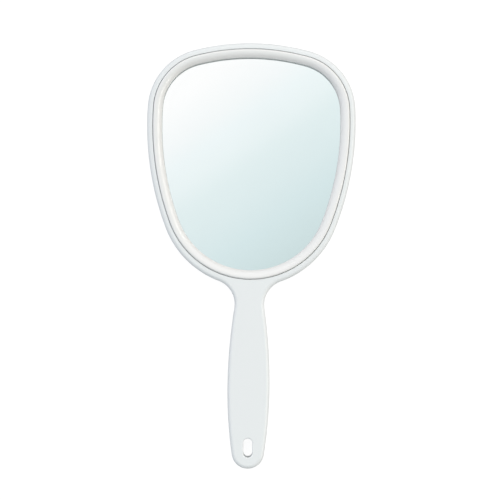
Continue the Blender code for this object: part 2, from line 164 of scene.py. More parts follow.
class MirrorMoulding(PropertyGroup):
    """Sections of the rear shell and the front frame."""
    fit: length("Fit", 0.0003, "Gap between two pieces that touch")
    soft_edge: length("Soft edge", 0.00025, "Rounding that the mould leaves on every edge")
    floor: length("Shell floor", 0.0020, "Thickness of the back")
    wall: length("Shell wall", 0.0026, "Thickness of the shell's side with its lip")
    back_radius: length("Back edge radius", 0.0025, "Rounded edge of the back")
    lap_skirt: length("Lap skirt", 0.0014, "Skirt of the frame that laps the shell's lip")
    rim_width: length("Rim width", 0.0039, "Rim outside the groove")
    rim_extra: length("Rim extra", 0.0011, "How much wider the rim is at the middle of the chin")
    rim_radius: length("Rim edge radius", 0.0026, "Rounded outer edge of rim and handle")
    rim_inner_radius: length("Rim inner radius", 0.0005, "Rounded edge beside the groove")
    face_wall: length("Face wall", 0.0020, "Thickness of the handle's face")
    side_wall: length("Side wall", 0.0020, "Thickness of the handle's side")
    rib: length("Rib thickness", 0.0012, "Ribs inside the shell")


class MirrorBezel(PropertyGroup):
    """Section of the ring that holds the glass."""
    groove: length("Groove width", 0.0003, "Gap between the rim and the bezel")
    wall: length("Bezel wall", 0.0016, "Thickness of the moulding")
    crest_radius: length("Crest radius", 0.0012, "Rounded outer edge of the bezel")
    roll_end: angle("Roll end", 60, "How far the inner roll has turned where the lip starts")
    overlap: length("Glass overlap", 0.0027, "How far the lip reaches over the glass")
    lip_foot: length("Lip foot", 0.0016, "Width of the lip where it presses on the glass")
    lip_round: length("Lip round", 0.0006, "Rounding between the roll and the upright lip")
    hook_catch: length("Hook catch", 0.0007, "How far a snap hook reaches under the rim")
    hook_height: length("Hook height", 0.0022, "Height of a snap hook")
    hook_nose: length("Hook nose", 0.0007, "Height of a snap hook's outer face")
    hook_length: length("Hook length", 0.0100, "Length of a snap hook along the ring")
    hook_ramp: length("Hook ramp", 0.0015, "Slope at each end of a snap hook")


class MirrorGlass(PropertyGroup):
    """Mirror glass."""
    arris: length("Arris", 0.0004, "Ground edge of the glass")
    bed_clearance: length("Bed clearance", 0.0004, "Gap between the bezel's skirt and the bed rib")


class MirrorScrews(PropertyGroup):
    """Places and wells of the screws in the handle."""
    head_radius: length("Screw head radius", 0.0026, "Head of a screw")
    thread_radius: length("Thread radius", 0.0014, "Outside of the thread")
    seat: length("Screw seat", 0.0033, "Height of the face under a screw's head")
    seat_thickness: length("Seat thickness", 0.0017, "Plastic that the head clamps")
    well_wall: length("Well wall", 0.0012, "Wall round the head")
    boss_wall: length("Boss wall", 0.0014, "Wall round the pilot hole")
    screw_length: length("Screw length", 0.0070, "Thread under the head")
    pilot_spare: length("Pilot spare", 0.0005, "Depth of the pilot hole past the screw")
    plug_chamfer: length("Plug chamfer", 0.0002, "Edge of a plug")
    plug_rim: length("Plug rim", 0.0006, "Wall of a plug")
    plug_web: length("Plug web", 0.0005, "Thickness of a plug's face")


class MirrorFinish(PropertyGroup):
    """Colours and gloss of the finishes."""
    frame_plastic: colour("Frame plastic", (0.790, 0.782, 0.782), "Frame and rear shell")
    bezel_plastic: colour("Bezel plastic", (0.912, 0.909, 0.902), "Bezel ring")
    plug_plastic: colour("Plug plastic", (0.740, 0.765, 0.775), "Screw plugs")
    glass_tint: colour("Glass tint", (0.975, 0.995, 0.990), "Colour of the glass itself")
    silver: colour("Silver", (0.955, 0.965, 0.960), "Coating on the back of the glass")
    film: colour("Film", (0.080, 0.100, 0.120), "Safety film behind the coating")
    foam: colour("Foam", (0.290, 0.290, 0.270), "Pad under the glass")
    zinc: colour("Zinc", (0.560, 0.570, 0.590), "Plating of the screws")
    gloss: amount("Plastic roughness", 0.17, "Roughness of the polished plastic")
    plug_gloss: amount("Plug roughness", 0.3, "Roughness of the screw plugs")


class MirrorStudio(PropertyGroup):
    """Floor, lights and camera."""
    camera_height: length("Camera height", 1.4, "Camera above the face of the rim")
    field: length("Field", 0.352, "Width that the camera takes in at the face of the rim")
    camera_shift_y: length("Camera place", 0.0042, "How far the camera stands towards the head")
    roll: angle("Camera roll", 0.637, "Turn of the camera about its own axis")
    floor: colour("Floor", (0.20, 0.20, 0.20), "Paper that the mirror lies on")
    floor_glow: amount("Floor glow", 0.89, "Light that comes through the paper towards the camera")
    floor_bounce: amount("Floor bounce", 0.55, "Light that comes through the paper to the mirror")
    dome: amount("Dome strength", 1.0, "Strength of the light all round")
    light_colour: colour("Light colour", (1.0, 0.97, 0.92), "Tone of the strip and the softbox")
    side_light: amount("Side strip", 6.2, "Brightness of the strip light on the right")
    side_rise: angle("Side strip rise", 46, "Height of the strip light above the floor")
    top_light: amount("Top softbox", 0.35, "Brightness of the softbox beyond the head")
    top_rise: angle("Top softbox rise", 60, "Height of the softbox above the floor")
    light_distance: length("Light distance", 1.2, "From the middle of the head to either light")
    strip_length: length("Strip length", 1.4, "Long side of the strip light")
    strip_width: length("Strip width", 0.12, "Short side of the strip light")
    softbox_length: length("Softbox length", 0.9, "Long side of the softbox")
    softbox_width: length("Softbox width", 0.35, "Short side of the softbox")


# Outlines


class Arc(NamedTuple):
    """Part of a circle from one angle to another; bulge is 1 outwards and -1 for a hollow."""
    centre: np.ndarray
    radius: float
    start: float
    end: float
    bulge: int = 1


def bearing(vector):
    """Angle of a vector from +X towards +Y."""
    return math.atan2(vector[1], vector[0])


def circles_meet(centre_a, reach_a, centre_b, reach_b):
    """The two points at reach_a from centre_a and at reach_b from centre_b."""
    apart = centre_b - centre_a
    distance = math.hypot(*apart)
    along = (reach_a ** 2 - reach_b ** 2 + distance ** 2) / (2 * distance)
    aside = math.sqrt(reach_a ** 2 - along ** 2)
    ahead = apart / distance
    left = np.array([-ahead[1], ahead[0]])
    return centre_a + ahead * along + left * aside, centre_a + ahead * along - left * aside


def head_arcs(head, height):
    """Right half of a head of a height: crown, shoulder, flank and chin, each tangent to the next.

    Two arcs are tangent where their centres and the shared point lie on one line, so the shoulder's
    centre is at the difference of the radii from both neighbours' centres, and the chin's radius is
    the one that puts its centre on the middle line at that distance from the flank's.
    """
    top = head.overall_length / 2
    crown = np.array([0.0, top - head.crown_radius])
    flank = np.array([head.width / 2 - head.flank_radius, top - head.widest_from_top])
    drop = height - head.widest_from_top
    chin_radius = ((head.flank_radius ** 2 - flank[0] ** 2 - drop ** 2)
                   / (2 * (head.flank_radius - drop)))
    chin = np.array([0.0, top - height + chin_radius])
    flank_end = bearing(chin - flank)
    shoulder = max(circles_meet(crown, head.crown_radius - head.shoulder_radius,
                                flank, head.flank_radius - head.shoulder_radius),
                   key=lambda place: place[0])
    crown_end = bearing(shoulder - crown)
    shoulder_end = bearing(shoulder - flank)
    return [Arc(crown, head.crown_radius, math.pi / 2, crown_end),
            Arc(shoulder, head.shoulder_radius, crown_end, shoulder_end),
            Arc(flank, head.flank_radius, shoulder_end, flank_end),
            Arc(chin, chin_radius, flank_end, -math.pi / 2)]


def handle_arcs(head, handle, chin):
    """Right side of the handle: hollow neck, swelling grip, taper and rounded tip.

    The grip and the taper meet level at the widest part. Each radius follows from the distance
    between its centre and the neighbour's centre being the sum or the difference of the radii.
    """
    tip_y = -head.overall_length / 2
    neck_x = handle.neck_width / 2 + handle.neck_radius
    drop = math.sqrt((chin.radius + handle.neck_radius) ** 2 - neck_x ** 2)
    neck = np.array([neck_x, chin.centre[1] - drop])
    widest = np.array([handle.grip_width / 2, tip_y + handle.grip_from_tip])
    across, up = neck - widest
    grip_radius = ((across ** 2 + up ** 2 - handle.neck_radius ** 2)
                   / (2 * (handle.neck_radius - across)))
    grip = widest - np.array([grip_radius, 0.0])
    tip = np.array([0.0, tip_y + handle.tip_radius])
    down = widest[1] - tip[1]
    taper_radius = ((widest[0] ** 2 + down ** 2 - handle.tip_radius ** 2)
                    / (2 * (widest[0] - handle.tip_radius)))
    taper = widest - np.array([taper_radius, 0.0])
    return [Arc(neck, handle.neck_radius, bearing(chin.centre - neck),
                bearing(grip - neck) % math.tau, bulge=-1),
            Arc(grip, grip_radius, bearing(neck - grip), 0.0),
            Arc(taper, taper_radius, 0.0, bearing(tip - taper)),
            Arc(tip, handle.tip_radius, bearing(tip - taper), -math.pi / 2)]


class Outline:
    """Places along a closed chain of arcs, and the outward direction at each of them.

    A place is centre + radius (cos a, sin a) and its outward direction is bulge (cos a, sin a).
    """

    def __init__(self, arcs, mirrored=True):
        places, outward = [], []
        for arc in arcs:
            turn = abs(arc.end - arc.start)
            count = math.ceil(max(turn / ARC_STEP, turn * arc.radius / LENGTH_STEP))
            angles = np.linspace(arc.start, arc.end, count, endpoint=False)
            ray = np.stack([np.cos(angles), np.sin(angles)], axis=1)
            places.append(arc.centre + arc.radius * ray)
            outward.append(arc.bulge * ray)
        if mirrored:
            last = arcs[-1]
            ray = np.array([[math.cos(last.end), math.sin(last.end)]])
            places.append(last.centre + last.radius * ray)
            outward.append(last.bulge * ray)
        self.places = np.concatenate(places)
        self.outward = np.concatenate(outward)
        if mirrored:
            flip = np.array([-1.0, 1.0])
            self.places = np.concatenate([self.places, flip * self.places[-2:0:-1]])[::-1]
            self.outward = np.concatenate([self.outward, flip * self.outward[-2:0:-1]])[::-1]

    def carried(self, section, reach=None):
        """Grid of places from a section of (inset, height) rows carried round the outline.

        A place is the outline's place - inset x outward, at the row's height. reach is added to the
        insets where it is given, one value for each row and each place of the outline.
        """
        inset = section[:, :1] + (0.0 if reach is None else reach)
        inset = np.broadcast_to(inset, (len(section), len(self.places)))
        flat = self.places[None] - inset[:, :, None] * self.outward[None]
        height = np.broadcast_to(section[:, 1, None, None], flat.shape[:2] + (1,))
        return np.concatenate([flat, height], axis=2)


def settings():
    """The scene's settings of the mirror."""
    return bpy.context.scene.hand_mirror


def body_arcs():
    """Whole right side: the head down to the neck, then the handle."""
    size = settings()
    crown, shoulder, flank, chin = head_arcs(size.head, size.head.height)
    handle = handle_arcs(size.head, size.handle, chin)
    cheek = chin._replace(end=bearing(handle[0].centre - chin.centre))
    return [crown, shoulder, flank, cheek] + handle


def body_outline():
    """Outer edge of the head and the handle."""
    return Outline(body_arcs())


def opening_arcs():
    """Right half of the outline that the rim's inner edge, the bezel and the glass are inset from.

    It stops short of the chin, so that the rim grows wider towards the handle.
    """
    size = settings()
    return head_arcs(size.head, size.head.height - size.moulding.rim_extra)


def head_outline():
    """Closed outline of the head, without the handle."""
    return Outline(opening_arcs())


def slot_outline():
    """The hanging slot: two half circles joined by straight sides."""
    size = settings()
    handle = size.handle
    radius = handle.slot_width / 2
    shift = np.array([0.0, handle.slot_length / 2 - radius])
    middle = np.array([0.0, handle.slot_from_tip - size.head.overall_length / 2])
    return Outline([Arc(middle - shift, radius, -math.pi, 0.0),
                    Arc(middle + shift, radius, 0.0, math.pi)], mirrored=False)


def round_outline(centre, radius):
    """A full circle."""
    return Outline([Arc(np.array(centre), radius, 0.0, math.tau)], mirrored=False)


def screw_centres():
    """Middle of each screw in the plane, from the CAD screws' boxes."""
    boxes = [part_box(name) for name in SCREWS]
    return [np.array([(low.x + high.x) / 2, (low.y + high.y) / 2]) for low, high in boxes]


# Sections and meshes


def softened(corners, closed=False):
    """A section with each corner (inset, height, radius) replaced by an arc tangent to both sides.

    With unit vectors a and b from the corner along its sides and half the angle between them, the
    arc starts radius / tan(half) along a and its centre lies radius / sin(half) along a + b. Its
    points turn evenly from the first tangent point to the second.
    """
    places = np.array([corner[:2] for corner in corners])
    rows = []
    for i, (inset, height, radius) in enumerate(corners):
        place = places[i]
        ends = not closed and i in (0, len(corners) - 1)
        if ends or radius == 0:
            rows.append(place[None])
            continue
        before = places[i - 1] - place
        after = places[(i + 1) % len(places)] - place
        before = before / math.hypot(*before)
        after = after / math.hypot(*after)
        half = math.acos(np.clip(before @ after, -1, 1)) / 2
        middle = (before + after) / math.hypot(*(before + after))
        centre = place + middle * radius / math.sin(half)
        first = place + before * radius / math.tan(half) - centre
        last = place + after * radius / math.tan(half) - centre
        turn = math.pi - 2 * half
        share = np.linspace(0, 1, max(3, math.ceil(turn / CORNER_STEP) + 1))[:, None]
        rows.append(centre + (np.sin((1 - share) * turn) * first + np.sin(share * turn) * last)
                    / math.sin(turn))
    return np.concatenate(rows)


def surface(name, grid, ring=False):
    """An object from a grid of places whose columns close on themselves.

    The rows close too where ring is set; otherwise the first and the last row are capped. The
    section runs up the outside first, so that each face between two rows and columns looks out.
    """
    rows, columns = grid.shape[:2]
    index = np.arange(rows * columns).reshape(rows, columns)
    lower = index if ring else index[:-1]
    upper = np.roll(index, -1, axis=0) if ring else index[1:]
    quads = np.stack([lower, np.roll(lower, -1, axis=1), np.roll(upper, -1, axis=1), upper], axis=2)
    faces = quads.reshape(-1, 4).tolist()
    if not ring:
        faces += [index[0, ::-1].tolist(), index[-1].tolist()]
    mesh = bpy.data.meshes.new(name)
    mesh.from_pydata(grid.reshape(-1, 3), [], faces)
    mesh.update()
    result = bpy.data.objects.new(name, mesh)
    bpy.context.scene.collection.objects.link(result)
    return result


def solid(name, outline, corners):
    """A capped body whose edge follows softened corners round an outline."""
    return surface(name, outline.carried(softened(corners)))


def prism(name, outline, inset, bottom, top):
    """A plain upright body inside an inset of an outline."""
    return surface(name, outline.carried(np.array([(inset, bottom), (inset, top)])))


def ring_solid(name, outline, corners):
    """A closed ring whose section has softened corners."""
    return surface(name, outline.carried(softened(corners, closed=True)), ring=True)


def post(name, centre, radius, bottom, top):
    """A round upright post."""
    return prism(name, round_outline(centre, radius), 0.0, bottom, top)


def block(name, centre, size):
    """A box from its middle and its three sides."""
    corner_signs = np.array([(-1, -1), (1, -1), (1, 1), (-1, 1)])
    half = np.array(size) / 2
    levels = [np.concatenate([corner_signs * half[:2], np.full((4, 1), side * half[2])], axis=1)
              for side in (-1, 1)]
    return surface(name, np.array(levels) + np.array(centre))


def carve(piece, changes):
    """Joins and cuts a piece with a list of (operation, tool) and removes the tools."""
    for operation, tool in changes:
        step = piece.modifiers.new(tool.name, "BOOLEAN")
        step.solver = "EXACT"
        step.operation = operation
        step.object = tool
    evaluated = piece.evaluated_get(bpy.context.evaluated_depsgraph_get())
    rough = piece.data
    piece.data = bpy.data.meshes.new_from_object(evaluated)
    piece.data.name = piece.name
    piece.modifiers.clear()
    bpy.data.meshes.remove(rough)
    for _, tool in changes:
        shape = tool.data
        bpy.data.objects.remove(tool)
        bpy.data.meshes.remove(shape)
    return piece


def finished(piece, materials, nodes):
    """Shades a piece, gives it its materials and its body, and lets it stand for CAD nodes."""
    piece.data.shade_smooth()
    piece.data.set_sharp_from_angle(angle=SHARP_ANGLE)
    weighted = piece.modifiers.new("Face weighted normals", "WEIGHTED_NORMAL")
    weighted.mode = "FACE_AREA"
    weighted.keep_sharp = True
    for material in materials:
        piece.data.materials.append(material)
    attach(piece, BODY)
    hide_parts(*nodes)
    return piece


# Node building


class Tree:
    """A node tree with short calls for adding nodes and joining them."""

    def __init__(self, tree):
        self.tree = tree

    def feed(self, socket, value):
        """Joins another node's output to a socket, or sets the socket to a plain value."""
        if isinstance(value, bpy.types.NodeSocket):
            self.tree.links.new(value, socket)
        else:
            socket.default_value = value

    def add(self, kind, choices=None, **inputs):
        """A node with its choices and its inputs: i0, i1 and so on by place, others by name."""
        node = self.tree.nodes.new(kind)
        for name, value in (choices or {}).items():
            setattr(node, name, value)
        for name, value in inputs.items():
            by_place = name[0] == "i" and name[1:].isdigit()
            self.feed(node.inputs[int(name[1:]) if by_place else name.replace("_", " ")], value)
        return node

    def math(self, operation, *values, clamp=False):
        """The result of a Math node on one to three values."""
        inputs = {f"i{i}": value for i, value in enumerate(values)}
        node = self.add("ShaderNodeMath", {"operation": operation, "use_clamp": clamp}, **inputs)
        return node.outputs[0]

    def noise(self, place, scale, detail=2.0, roughness=0.5):
        """A soft noise from 0 to 1 with a number of cells to the metre."""
        node = self.add("ShaderNodeTexNoise", Vector=place, Scale=scale, Detail=detail,
                        Roughness=roughness)
        return node.outputs["Fac"]

    def stretch(self, value, low, high, to_low=0.0, to_high=1.0):
        """A value's range low..high carried to another range, held at its ends."""
        node = self.add("ShaderNodeMapRange", i0=value, i1=low, i2=high, i3=to_low, i4=to_high)
        return node.outputs[0]

    def blend(self, share, first, second):
        """A colour between two colours."""
        node = self.add("ShaderNodeMix", {"data_type": "RGBA"}, i0=share, i6=first, i7=second)
        return node.outputs[2]


# Cells of each noise or pattern along a metre

CLOUD = 38.0
HAZE = 130.0
SPECK = 1900.0
GRAIN = 2600.0
DUST = 1400.0
SILVER_CLOUD = 14.0
PLATING_DRIFT = 420.0
PLATING_GRAIN = 2400.0
FILM_THREADS = 600.0
FOAM_CELLS = 1500.0
PAPER_TOOTH = 700.0

# Each set of hairlines: its turn and how far it is drawn out
HAIRLINES = ((0.6, 30.0), (2.2, 24.0))

# How much a speck darkens plastic, and the fine grain's share of its relief
SPECK_SHADE = 0.015
GRAIN_SHARE = 0.12


def new_group(name, inputs, outputs):
    """A shader node group with named sockets, its tree helper, its inputs and its output node."""
    group = bpy.data.node_groups.new(name, "ShaderNodeTree")
    for label, kind, default in inputs:
        socket = group.interface.new_socket(label, in_out="INPUT", socket_type=kind)
        if default is not None:
            socket.default_value = default
    for label, kind in outputs:
        group.interface.new_socket(label, in_out="OUTPUT", socket_type=kind)
    tree = Tree(group)
    given = group.nodes.new("NodeGroupInput").outputs
    result = group.nodes.new("NodeGroupOutput")
    return group, tree, given, result


def moulded_group():
    """Clouded colour, uneven gloss and a faint ripple, as on a polished moulding."""
    group, tree, given, result = new_group(
        "Moulded surface",
        [("Position", "NodeSocketVector", None), ("Colour", "NodeSocketColor", None),
         ("Clouding", "NodeSocketFloat", 0.02), ("Roughness", "NodeSocketFloat", 0.2),
         ("Gloss spread", "NodeSocketFloat", 0.03), ("Ripple size", "NodeSocketFloat", 0.004)],
        [("Colour", "NodeSocketColor"), ("Roughness", "NodeSocketFloat"),
         ("Height", "NodeSocketFloat")])
    place = given["Position"]
    cloud = tree.noise(place, CLOUD, detail=3.0)
    speck = tree.stretch(tree.noise(place, SPECK, detail=1.0), 0.70, 0.80)
    shade = tree.math("MULTIPLY", tree.math("SUBTRACT", cloud, 0.5), given["Clouding"])
    shade = tree.math("SUBTRACT", shade, tree.math("MULTIPLY", speck, SPECK_SHADE))
    tinted = tree.add("ShaderNodeHueSaturation", Color=given["Colour"],
                      Value=tree.math("ADD", shade, 1.0))
    tree.feed(result.inputs["Colour"], tinted.outputs[0])
    haze = tree.noise(place, HAZE, detail=4.0, roughness=0.6)
    gloss = tree.math("MULTIPLY_ADD", tree.math("SUBTRACT", haze, 0.5), given["Gloss spread"],
                      given["Roughness"])
    tree.feed(result.inputs["Roughness"], gloss)
    scale = tree.math("DIVIDE", 1.0, given["Ripple size"])
    ripple = tree.noise(place, scale, roughness=0.4)
    grain = tree.math("MULTIPLY", tree.noise(place, GRAIN, detail=1.0), GRAIN_SHARE)
    tree.feed(result.inputs["Height"], tree.math("ADD", ripple, grain))
    return group


def marks_group():
    """Fine hairlines and dust that handling leaves: a mask that is 0 on a clean surface."""
    group, tree, given, result = new_group(
        "Handling marks",
        [("Position", "NodeSocketVector", None), ("Size", "NodeSocketFloat", 0.02),
         ("Amount", "NodeSocketFloat", 0.5)],
        [("Mask", "NodeSocketFloat")])
    scale = tree.math("DIVIDE", 1.0, given["Size"])
    lines = None
    for turn, draw in HAIRLINES:
        turned = tree.add("ShaderNodeMapping", Vector=given["Position"], Rotation=(0, 0, turn),
                          Scale=(1.0, draw, 1.0))
        hair = tree.stretch(tree.noise(turned.outputs[0], scale), 0.66, 0.72)
        lines = hair if lines is None else tree.math("MAXIMUM", lines, hair)
    dust = tree.stretch(tree.noise(given["Position"], DUST, detail=1.0), 0.74, 0.80)
    marks = tree.math("MAXIMUM", lines, dust)
    tree.feed(result.inputs["Mask"], tree.math("MULTIPLY", marks, given["Amount"]))
    return group


def new_material(name):
    """A material with an empty Principled shader, its tree helper and the object's coordinates."""
    material = bpy.data.materials.new(name)
    material.use_nodes = True
    tree = Tree(material.node_tree)
    shader = material.node_tree.nodes["Principled BSDF"]
    place = tree.add("ShaderNodeTexCoord").outputs["Object"]
    return material, tree, shader, place


def use_group(tree, name, make, **inputs):
    """A shared group, made the first time that it is used, with its own inputs."""
    group = bpy.data.node_groups.get(name) or make()
    return tree.add("ShaderNodeGroup", {"node_tree": group}, **inputs)


def set_shader(shader, **values):
    """Sets plain values on the shader's own sockets."""
    for name, value in values.items():
        shader.inputs[name.replace("_", " ")].default_value = value


def tone(base, share=1.0):
    """A colour times a share, with its alpha."""
    return (*(part * share for part in base), 1.0)


def bumped(tree, shader, height, depth):
    """Feeds a height to the shader as a bump of a depth in metres."""
    bump = tree.add("ShaderNodeBump", Height=height, Strength=1.0, Distance=depth)
    tree.feed(shader.inputs["Normal"], bump.outputs["Normal"])


def plastic(name, base, roughness, coat):
    """Polished moulded plastic with a faint ripple, clouding and a few handling marks."""
    material, tree, shader, place = new_material(name)
    moulded = use_group(tree, "Moulded surface", moulded_group, Position=place,
                        Colour=tone(base), Clouding=0.02, Roughness=roughness)
    marks = use_group(tree, "Handling marks", marks_group, Position=place, Amount=0.25)
    tree.feed(shader.inputs["Base Color"], moulded.outputs["Colour"])
    worn = tree.math("MULTIPLY_ADD", marks.outputs["Mask"], 0.25, moulded.outputs["Roughness"])
    tree.feed(shader.inputs["Roughness"], worn)
    bumped(tree, shader, moulded.outputs["Height"], depth=0.000004)
    set_shader(shader, IOR=1.53, Coat_Weight=coat, Coat_Roughness=0.06)
    return material


def glass_material():
    """Clear float glass, faintly green, with a trace of dust on it."""
    material, tree, shader, place = new_material("clear_glass")
    marks = use_group(tree, "Handling marks", marks_group, Position=place, Size=0.03, Amount=0.10)
    tree.feed(shader.inputs["Roughness"], tree.math("MULTIPLY", marks.outputs["Mask"], 0.08))
    set_shader(shader, Base_Color=tone(settings().finish.glass_tint), IOR=1.52,
               Transmission_Weight=1.0)
    return material


def silver_material():
    """Silver coating seen through the glass, with a faint cloud in its tone."""
    material, tree, shader, place = new_material("silver_coating")
    cloud = tree.stretch(tree.noise(place, SILVER_CLOUD), 0.3, 0.7)
    silver = settings().finish.silver
    tree.feed(shader.inputs["Base Color"], tree.blend(cloud, tone(silver), tone(silver, 0.985)))
    set_shader(shader, Metallic=1.0, Roughness=0.012)
    return material


def film_material():
    """Woven-backed safety film with a fine square texture."""
    material, tree, shader, place = new_material("backing_film")
    threads = [tree.add("ShaderNodeTexWave", {"bands_direction": direction}, Vector=place,
                        Scale=FILM_THREADS).outputs["Fac"] for direction in "XY"]
    weave = tree.math("MULTIPLY", *threads)
    film = settings().finish.film
    tree.feed(shader.inputs["Base Color"], tree.blend(weave, tone(film), tone(film, 1.6)))
    bumped(tree, shader, weave, depth=0.00002)
    set_shader(shader, Roughness=0.45)
    return material


def foam_material():
    """Open-cell foam: sunken pores between rounded cell walls, with painted shade that darkens the
    pores.
    """
    material, tree, shader, place = new_material("foam")
    cells = tree.add("ShaderNodeTexVoronoi", Vector=place, Scale=FOAM_CELLS)
    pore_depth_and_shade = tree.stretch(cells.outputs["Distance"], 0.1, 0.6)
    foam = settings().finish.foam
    # Painted shade: the sunken pores are darkened to 0.55 of the foam's tone, as shade in the
    # hollows.
    tree.feed(shader.inputs["Base Color"], tree.blend(pore_depth_and_shade, tone(foam, 0.55), tone(foam)))
    bumped(tree, shader, pore_depth_and_shade, depth=0.0002)
    set_shader(shader, Roughness=0.95)
    return material


def zinc_material():
    """Zinc plating: bright metal with a drifting blue and straw tone and an uneven polish."""
    material, tree, shader, place = new_material("zinc_plated_steel")
    zinc = settings().finish.zinc
    drift = tree.stretch(tree.noise(place, PLATING_DRIFT), 0.35, 0.65)
    straw = (zinc[0] * 1.06, zinc[1], zinc[2] * 0.88)
    tree.feed(shader.inputs["Base Color"], tree.blend(drift, tone(zinc), tone(straw)))
    polish = tree.stretch(tree.noise(place, PLATING_GRAIN), 0.3, 0.7, 0.24, 0.42)
    tree.feed(shader.inputs["Roughness"], polish)
    set_shader(shader, Metallic=1.0)
    return material


def frame_plastic():
    """The plastic that the rear shell and the front frame share."""
    finish = settings().finish
    return bpy.data.materials.get("white_frame_plastic") or plastic(
        "white_frame_plastic", finish.frame_plastic, finish.gloss, coat=0.35)


# Pieces


def shell_depth():
    """Height of the seam face of the rear shell."""
    return RIM_LOW.z - settings().moulding.fit


def bezel_inset():
    """How far the bezel's outside lies inside the head's outline."""
    size = settings()
    return size.moulding.rim_width + size.bezel.groove


def glass_inset():
    """How far the edge of the glass lies inside the head's outline."""
    return CAD_HIGH.x - GLASS_HIGH.x


def hook_centres():
    """The middle of each snap hook.

    Two are on the middle line, at the crown and the chin, and each side has one halfway along its
    shoulder, its flank and its half of the chin.
    """
    crown, shoulder, flank, chin = opening_arcs()
    inset = bezel_inset()

    def on(arc, angle):
        return arc.centre + (arc.radius - inset) * np.array([math.cos(angle), math.sin(angle)])

    single = [on(crown, crown.start), on(chin, chin.end)]
    paired = [on(arc, (arc.start + arc.end) / 2) for arc in (shoulder, flank, chin)]
    return np.array(single + paired + [place * (-1, 1) for place in paired])


def hook_share(places):
    """1 on a snap hook and 0 away from it, with a straight ramp at each end of the hook."""
    bezel = settings().bezel
    away = np.linalg.norm(places[:, None] - hook_centres()[None], axis=2).min(axis=1)
    return np.clip((bezel.hook_length / 2 - away) / bezel.hook_ramp + 0.5, 0, 1)


def make_rear_shell():
    """Tray with a rounded back edge, a lip that the frame laps, ribs, screw wells and the slot."""
    size = settings()
    moulding, screws, handle = size.moulding, size.screws, size.handle
    soft = moulding.soft_edge
    depth, lip_top = shell_depth(), SHELL_TOP
    lip = moulding.lap_skirt + moulding.fit
    body = body_outline()
    shell = solid("rear_shell_moulding", body, [
        (2 * moulding.back_radius, 0, 0), (0, 0, moulding.back_radius), (0, depth, soft),
        (lip, depth, soft / 2), (lip, lip_top, soft), (moulding.wall, lip_top, soft),
        (moulding.wall, moulding.floor, 2 * soft), (2 * moulding.wall, moulding.floor, 0)])
    foot = moulding.floor - ROOT
    rib_outer = bezel_inset() + size.bezel.wall + size.glass.bed_clearance
    rib_inner = rib_outer + moulding.rib
    rib_top = (GLASS_LOW.z + GLASS_HIGH.z) / 2
    changes = [("UNION", ring_solid("glass_bed_rib", head_outline(), [
        (rib_outer, foot, 0), (rib_outer, rib_top, soft), (rib_inner, rib_top, soft),
        (rib_inner, foot, 0)]))]
    centres = screw_centres()
    for upper, lower in zip(centres, centres[1:]):
        y = (upper[1] + lower[1]) / 2
        side = np.interp(y, *edge_of_handle())
        length_across = 2 * (side - moulding.wall + ROOT)
        changes.append(("UNION", block("cross_rib", (0, y, (foot + depth) / 2),
                                       (length_across, moulding.rib, depth - foot))))
    slot = slot_outline()
    changes.append(("UNION", prism("slot_sleeve", slot, -handle.sleeve_wall, foot, depth)))
    well = screws.head_radius + moulding.fit
    well_top = screws.seat + screws.seat_thickness
    for centre in centres:
        changes += [
            ("UNION", post("well", centre, well + screws.well_wall, foot, well_top)),
            ("DIFFERENCE", solid("well_bore", round_outline(centre, well), [
                (-soft, -OVERRUN, 0), (-soft, 0, 0), (0, soft, 0), (0, screws.seat, 0)])),
            ("DIFFERENCE", post("screw_hole", centre, screws.thread_radius + moulding.fit,
                                screws.seat - ROOT, well_top + OVERRUN))]
    mouth = handle.slot_mouth
    changes.append(("DIFFERENCE", solid("slot", slot, [
        (-mouth, -OVERRUN, 0), *mouth_rows(0.0, 0.0, 1, mouth), (0, depth + OVERRUN, 0)])))
    carve(shell, changes)
    return finished(shell, [frame_plastic()], ["rear_shell"])


def mouth_rows(wall, face, up, radius):
    """Corners of a quarter round that widens a hole, whose wall is at an inset, towards a face.

    up is 1 where the hole starts above the face and -1 where it starts below. The points go from
    the face to the wall: inset = wall - radius (1 - sin t) and height = face + up radius
    (1 - cos t), with t from 0 to a quarter turn.
    """
    turn = np.linspace(0, math.pi / 2, MOUTH_POINTS)
    rows = np.stack([wall - radius * (1 - np.sin(turn)), face + up * radius * (1 - np.cos(turn)),
                     np.zeros_like(turn)], axis=1)
    return [tuple(row) for row in rows]


def edge_of_handle():
    """Heights along the handle and the half width at each, in rising order."""
    outline = body_outline()
    right = outline.places[outline.places[:, 0] >= 0]
    low = right[right[:, 1] < settings().head.overall_length / 2 - settings().head.height]
    order = np.argsort(low[:, 1])
    return low[order, 1], low[order, 0]


